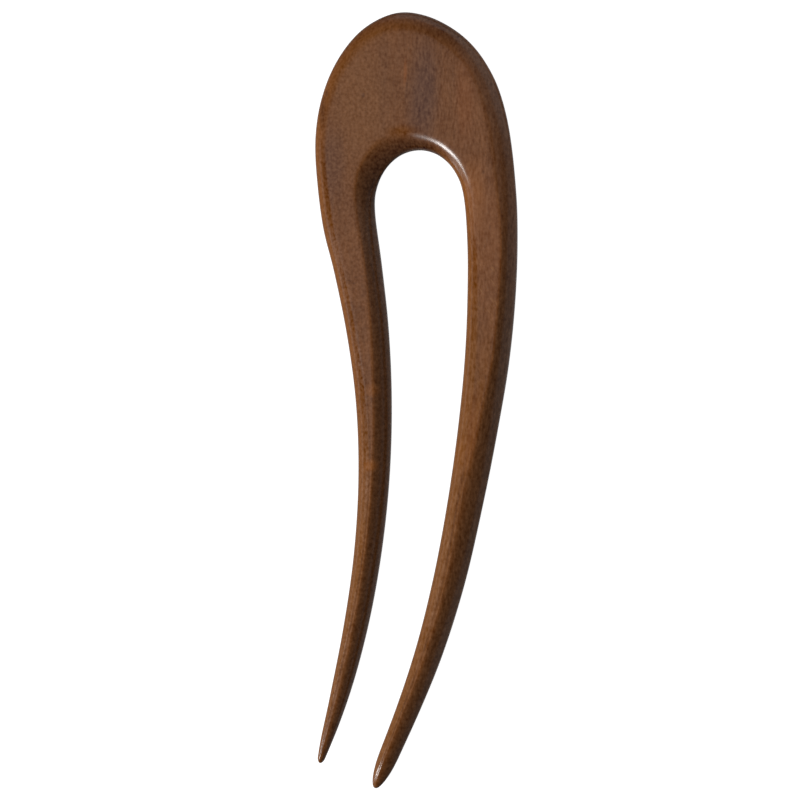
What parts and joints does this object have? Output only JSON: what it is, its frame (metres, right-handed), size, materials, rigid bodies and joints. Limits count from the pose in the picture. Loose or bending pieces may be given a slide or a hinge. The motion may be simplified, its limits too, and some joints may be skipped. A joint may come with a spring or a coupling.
{
  "type": "u-shaped hairpin",
  "caption": "Carved wooden hair fork: a broad domed crown with a rounded arch, and slender tapering prongs that sweep to one side, to hold a bun or a twist of hair.",
  "frame": {"origin": "on the surface that the pin lies on, under the centre of its outline's box", "axes": "+Y towards the top of the crown and away from the tips, +X towards the longer, thicker prong, +Z out of the front face, with the flat back at Z = 0"},
  "size_m": [0.0412, 0.15, 0.0062],
  "materials": {
    "wood": "fine-grained hardwood stained dark reddish brown, sealed with a smooth satin lacquer, warmer and redder where the rounding of the edges begins"
  },
  "bodies": {
    "root": {"hair_fork": "wood"}
  },
  "joints": []
}
